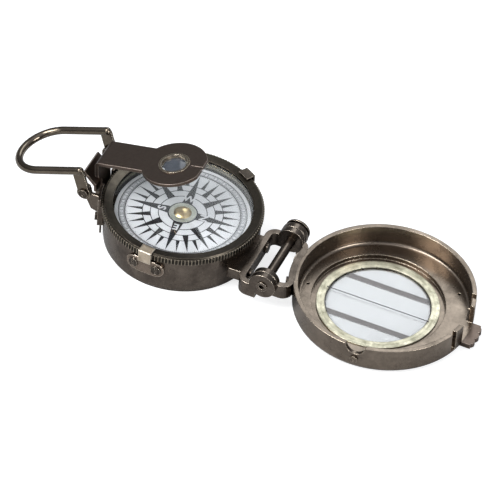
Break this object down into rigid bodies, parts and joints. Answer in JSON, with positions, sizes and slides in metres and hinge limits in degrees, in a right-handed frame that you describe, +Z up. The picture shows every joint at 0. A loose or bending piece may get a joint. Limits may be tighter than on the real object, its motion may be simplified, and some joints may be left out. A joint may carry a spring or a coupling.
{
  "type": "magnetic marching compass",
  "caption": "Pocket marching compass in aged bronze: knurled rotating bezel, rose card, window lid on a pinned hinge, folding eyepiece arm and wire thumb loop.",
  "frame": {"origin": "the card's axis where it meets the table, the middle of the case's flat underside", "axes": "+X from the case towards the hinge and the open lid, +Y across, along the hinge pin, +Z up"},
  "size_m": [0.1812, 0.0663, 0.0373],
  "materials": {
    "aged_bronze": "satin antique patina",
    "dark_bronze": "dark worn patina",
    "pale_brass": "worn satin",
    "bright_brass": "polished",
    "liner_brass": "dull olive",
    "printed_card": "matt print",
    "clear_glass": "clear",
    "steel": "dull"
  },
  "bodies": {
    "case": {"case_shell": "aged_bronze", "base_cover": "dark_bronze", "inner_liner": "liner_brass", "pivot_post": "bright_brass", "near_clip": "aged_bronze", "near_clip_tab": "bright_brass", "near_clip_screws": "dark_bronze", "far_clip": "aged_bronze", "far_clip_tab": "bright_brass", "far_clip_screws": "dark_bronze", "hinge_bracket": "aged_bronze", "hinge_screws": "dark_bronze", "hinge_collar": "aged_bronze", "hinge_pin": "aged_bronze", "hinge_knob": "aged_bronze", "rear_bracket": "aged_bronze", "rear_screws": "dark_bronze", "leaf_spring": "dark_bronze", "arm_pin": "aged_bronze", "loop_rivets": "aged_bronze"},
    "bezel": {"bezel_ring": "aged_bronze", "crystal": "clear_glass", "crystal_seat": "liner_brass"},
    "dial": {"card": "printed_card", "card_hub": "bright_brass", "card_magnets": "steel", "card_washer": "pale_brass", "card_cap": "bright_brass"},
    "lid": {"lid_shell": "aged_bronze", "lid_tab": "aged_bronze", "lid_bracket": "aged_bronze", "lid_screws": "dark_bronze", "window_ring": "pale_brass", "window_glass": "clear_glass", "hair_wire": "steel", "guard_bars": "aged_bronze", "notch_stud": "dark_bronze"},
    "arm": {"eyepiece_arm": "dark_bronze", "arm_grip": "dark_bronze", "lens": "clear_glass", "lens_ring": "pale_brass"},
    "loop": {"thumb_loop": "aged_bronze"}
  },
  "joints": [
    {"name": "bezel_turn", "type": "hinge", "parent": "case", "child": "bezel", "pos_m": [0, 0, 0.0159], "axis": [0, 0, 1], "continuous": true},
    {"name": "card_spin", "type": "hinge", "parent": "case", "child": "dial", "pos_m": [0, 0, 0.0131], "axis": [0, 0, 1], "continuous": true},
    {"name": "lid_hinge", "type": "hinge", "parent": "case", "child": "lid", "pos_m": [0.0396, 0, 0.0105], "axis": [0, -1, 0], "range_deg": [0, 180]},
    {"name": "arm_swing", "type": "hinge", "parent": "case", "child": "arm", "pos_m": [-0.0307, 0, 0.0124], "axis": [0, -1, 0], "range_deg": [0, 100]},
    {"name": "loop_swing", "type": "hinge", "parent": "case", "child": "loop", "pos_m": [-0.0338, 0, 0.0182], "axis": [0, 1, 0], "range_deg": [-56, 10]}
  ],
  "couplings": [
    {"joint": "arm_swing", "follows": "lid_hinge", "ratio": 0.525}
  ]
}
